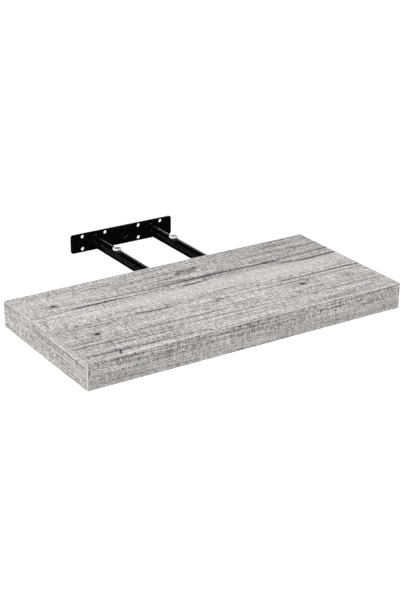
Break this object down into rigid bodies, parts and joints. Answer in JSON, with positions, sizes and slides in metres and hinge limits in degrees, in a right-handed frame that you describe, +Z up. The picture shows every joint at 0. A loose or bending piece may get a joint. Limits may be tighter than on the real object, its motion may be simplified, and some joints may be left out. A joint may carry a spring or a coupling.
{
  "type": "floating wall shelf",
  "caption": "Hollow grey wood-grain board that slides over steel tubes welded to a hidden wall plate, with levelling screws on the tubes.",
  "frame": {"origin": "middle of the wall plate's back face, on the wall, level with the tubes' axes", "axes": "+Z up, -Y out of the wall towards the user, +X to the right of someone facing the wall"},
  "size_m": [0.5, 0.423, 0.038],
  "materials": {
    "grey_oak_laminate": "grey wood-grain melamine on thin fibreboard",
    "edge_banding": "grey wood-grain band with pale cut edges",
    "core_wood": "raw chipboard and softwood",
    "core_paper": "brown paper",
    "black_powder_coat": "black powder coat, semi-gloss",
    "black_plastic": "black moulded plastic",
    "white_nylon": "white nylon",
    "zinc_plate": "bright zinc plate"
  },
  "bodies": {
    "bracket": {"wall_plate": "black_powder_coat", "support_tube_left": "black_powder_coat", "weld_bead_left": "black_powder_coat", "rivet_nut_left": "zinc_plate", "tube_cap_left": "black_plastic", "support_tube_right": "black_powder_coat", "weld_bead_right": "black_powder_coat", "rivet_nut_right": "zinc_plate", "tube_cap_right": "black_plastic"},
    "board": {"top_panel": "grey_oak_laminate", "bottom_panel": "grey_oak_laminate", "front_rail": "core_wood", "rear_rail": "core_wood", "end_rail_left": "core_wood", "end_rail_right": "core_wood", "guide_left_upper": "core_wood", "guide_left_lower": "core_wood", "guide_right_upper": "core_wood", "guide_right_lower": "core_wood", "honeycomb_left": "core_paper", "honeycomb_middle": "core_paper", "honeycomb_right": "core_paper", "front_band": "edge_banding", "rear_band": "edge_banding", "end_band_left": "edge_banding", "end_band_right": "edge_banding"},
    "pressure_ring_left": {"pressure_ring_left": "white_nylon"},
    "levelling_screw_left": {"levelling_screw_left": "zinc_plate"},
    "pressure_ring_right": {"pressure_ring_right": "white_nylon"},
    "levelling_screw_right": {"levelling_screw_right": "zinc_plate"}
  },
  "joints": [
    {"name": "board_slide", "type": "slide", "parent": "bracket", "child": "board", "axis": [0, 1, 0], "range_m": [-0.01, 0.188]},
    {"name": "ring_left_lift", "type": "slide", "parent": "bracket", "child": "pressure_ring_left", "axis": [0, 0, 1], "range_m": [0, 0.0008]},
    {"name": "screw_left_turn", "type": "hinge", "parent": "pressure_ring_left", "child": "levelling_screw_left", "pos_m": [-0.05, -0.075, 0.01], "axis": [0, 0, 1], "range_deg": [0, 288]},
    {"name": "ring_right_lift", "type": "slide", "parent": "bracket", "child": "pressure_ring_right", "axis": [0, 0, 1], "range_m": [0, 0.0008]},
    {"name": "screw_right_turn", "type": "hinge", "parent": "pressure_ring_right", "child": "levelling_screw_right", "pos_m": [0.05, -0.075, 0.01], "axis": [0, 0, 1], "range_deg": [0, 288]}
  ],
  "couplings": [
    {"joint": "screw_left_turn", "follows": "ring_left_lift", "rad_per_m": 6283.2},
    {"joint": "screw_right_turn", "follows": "ring_right_lift", "rad_per_m": 6283.2}
  ]
}
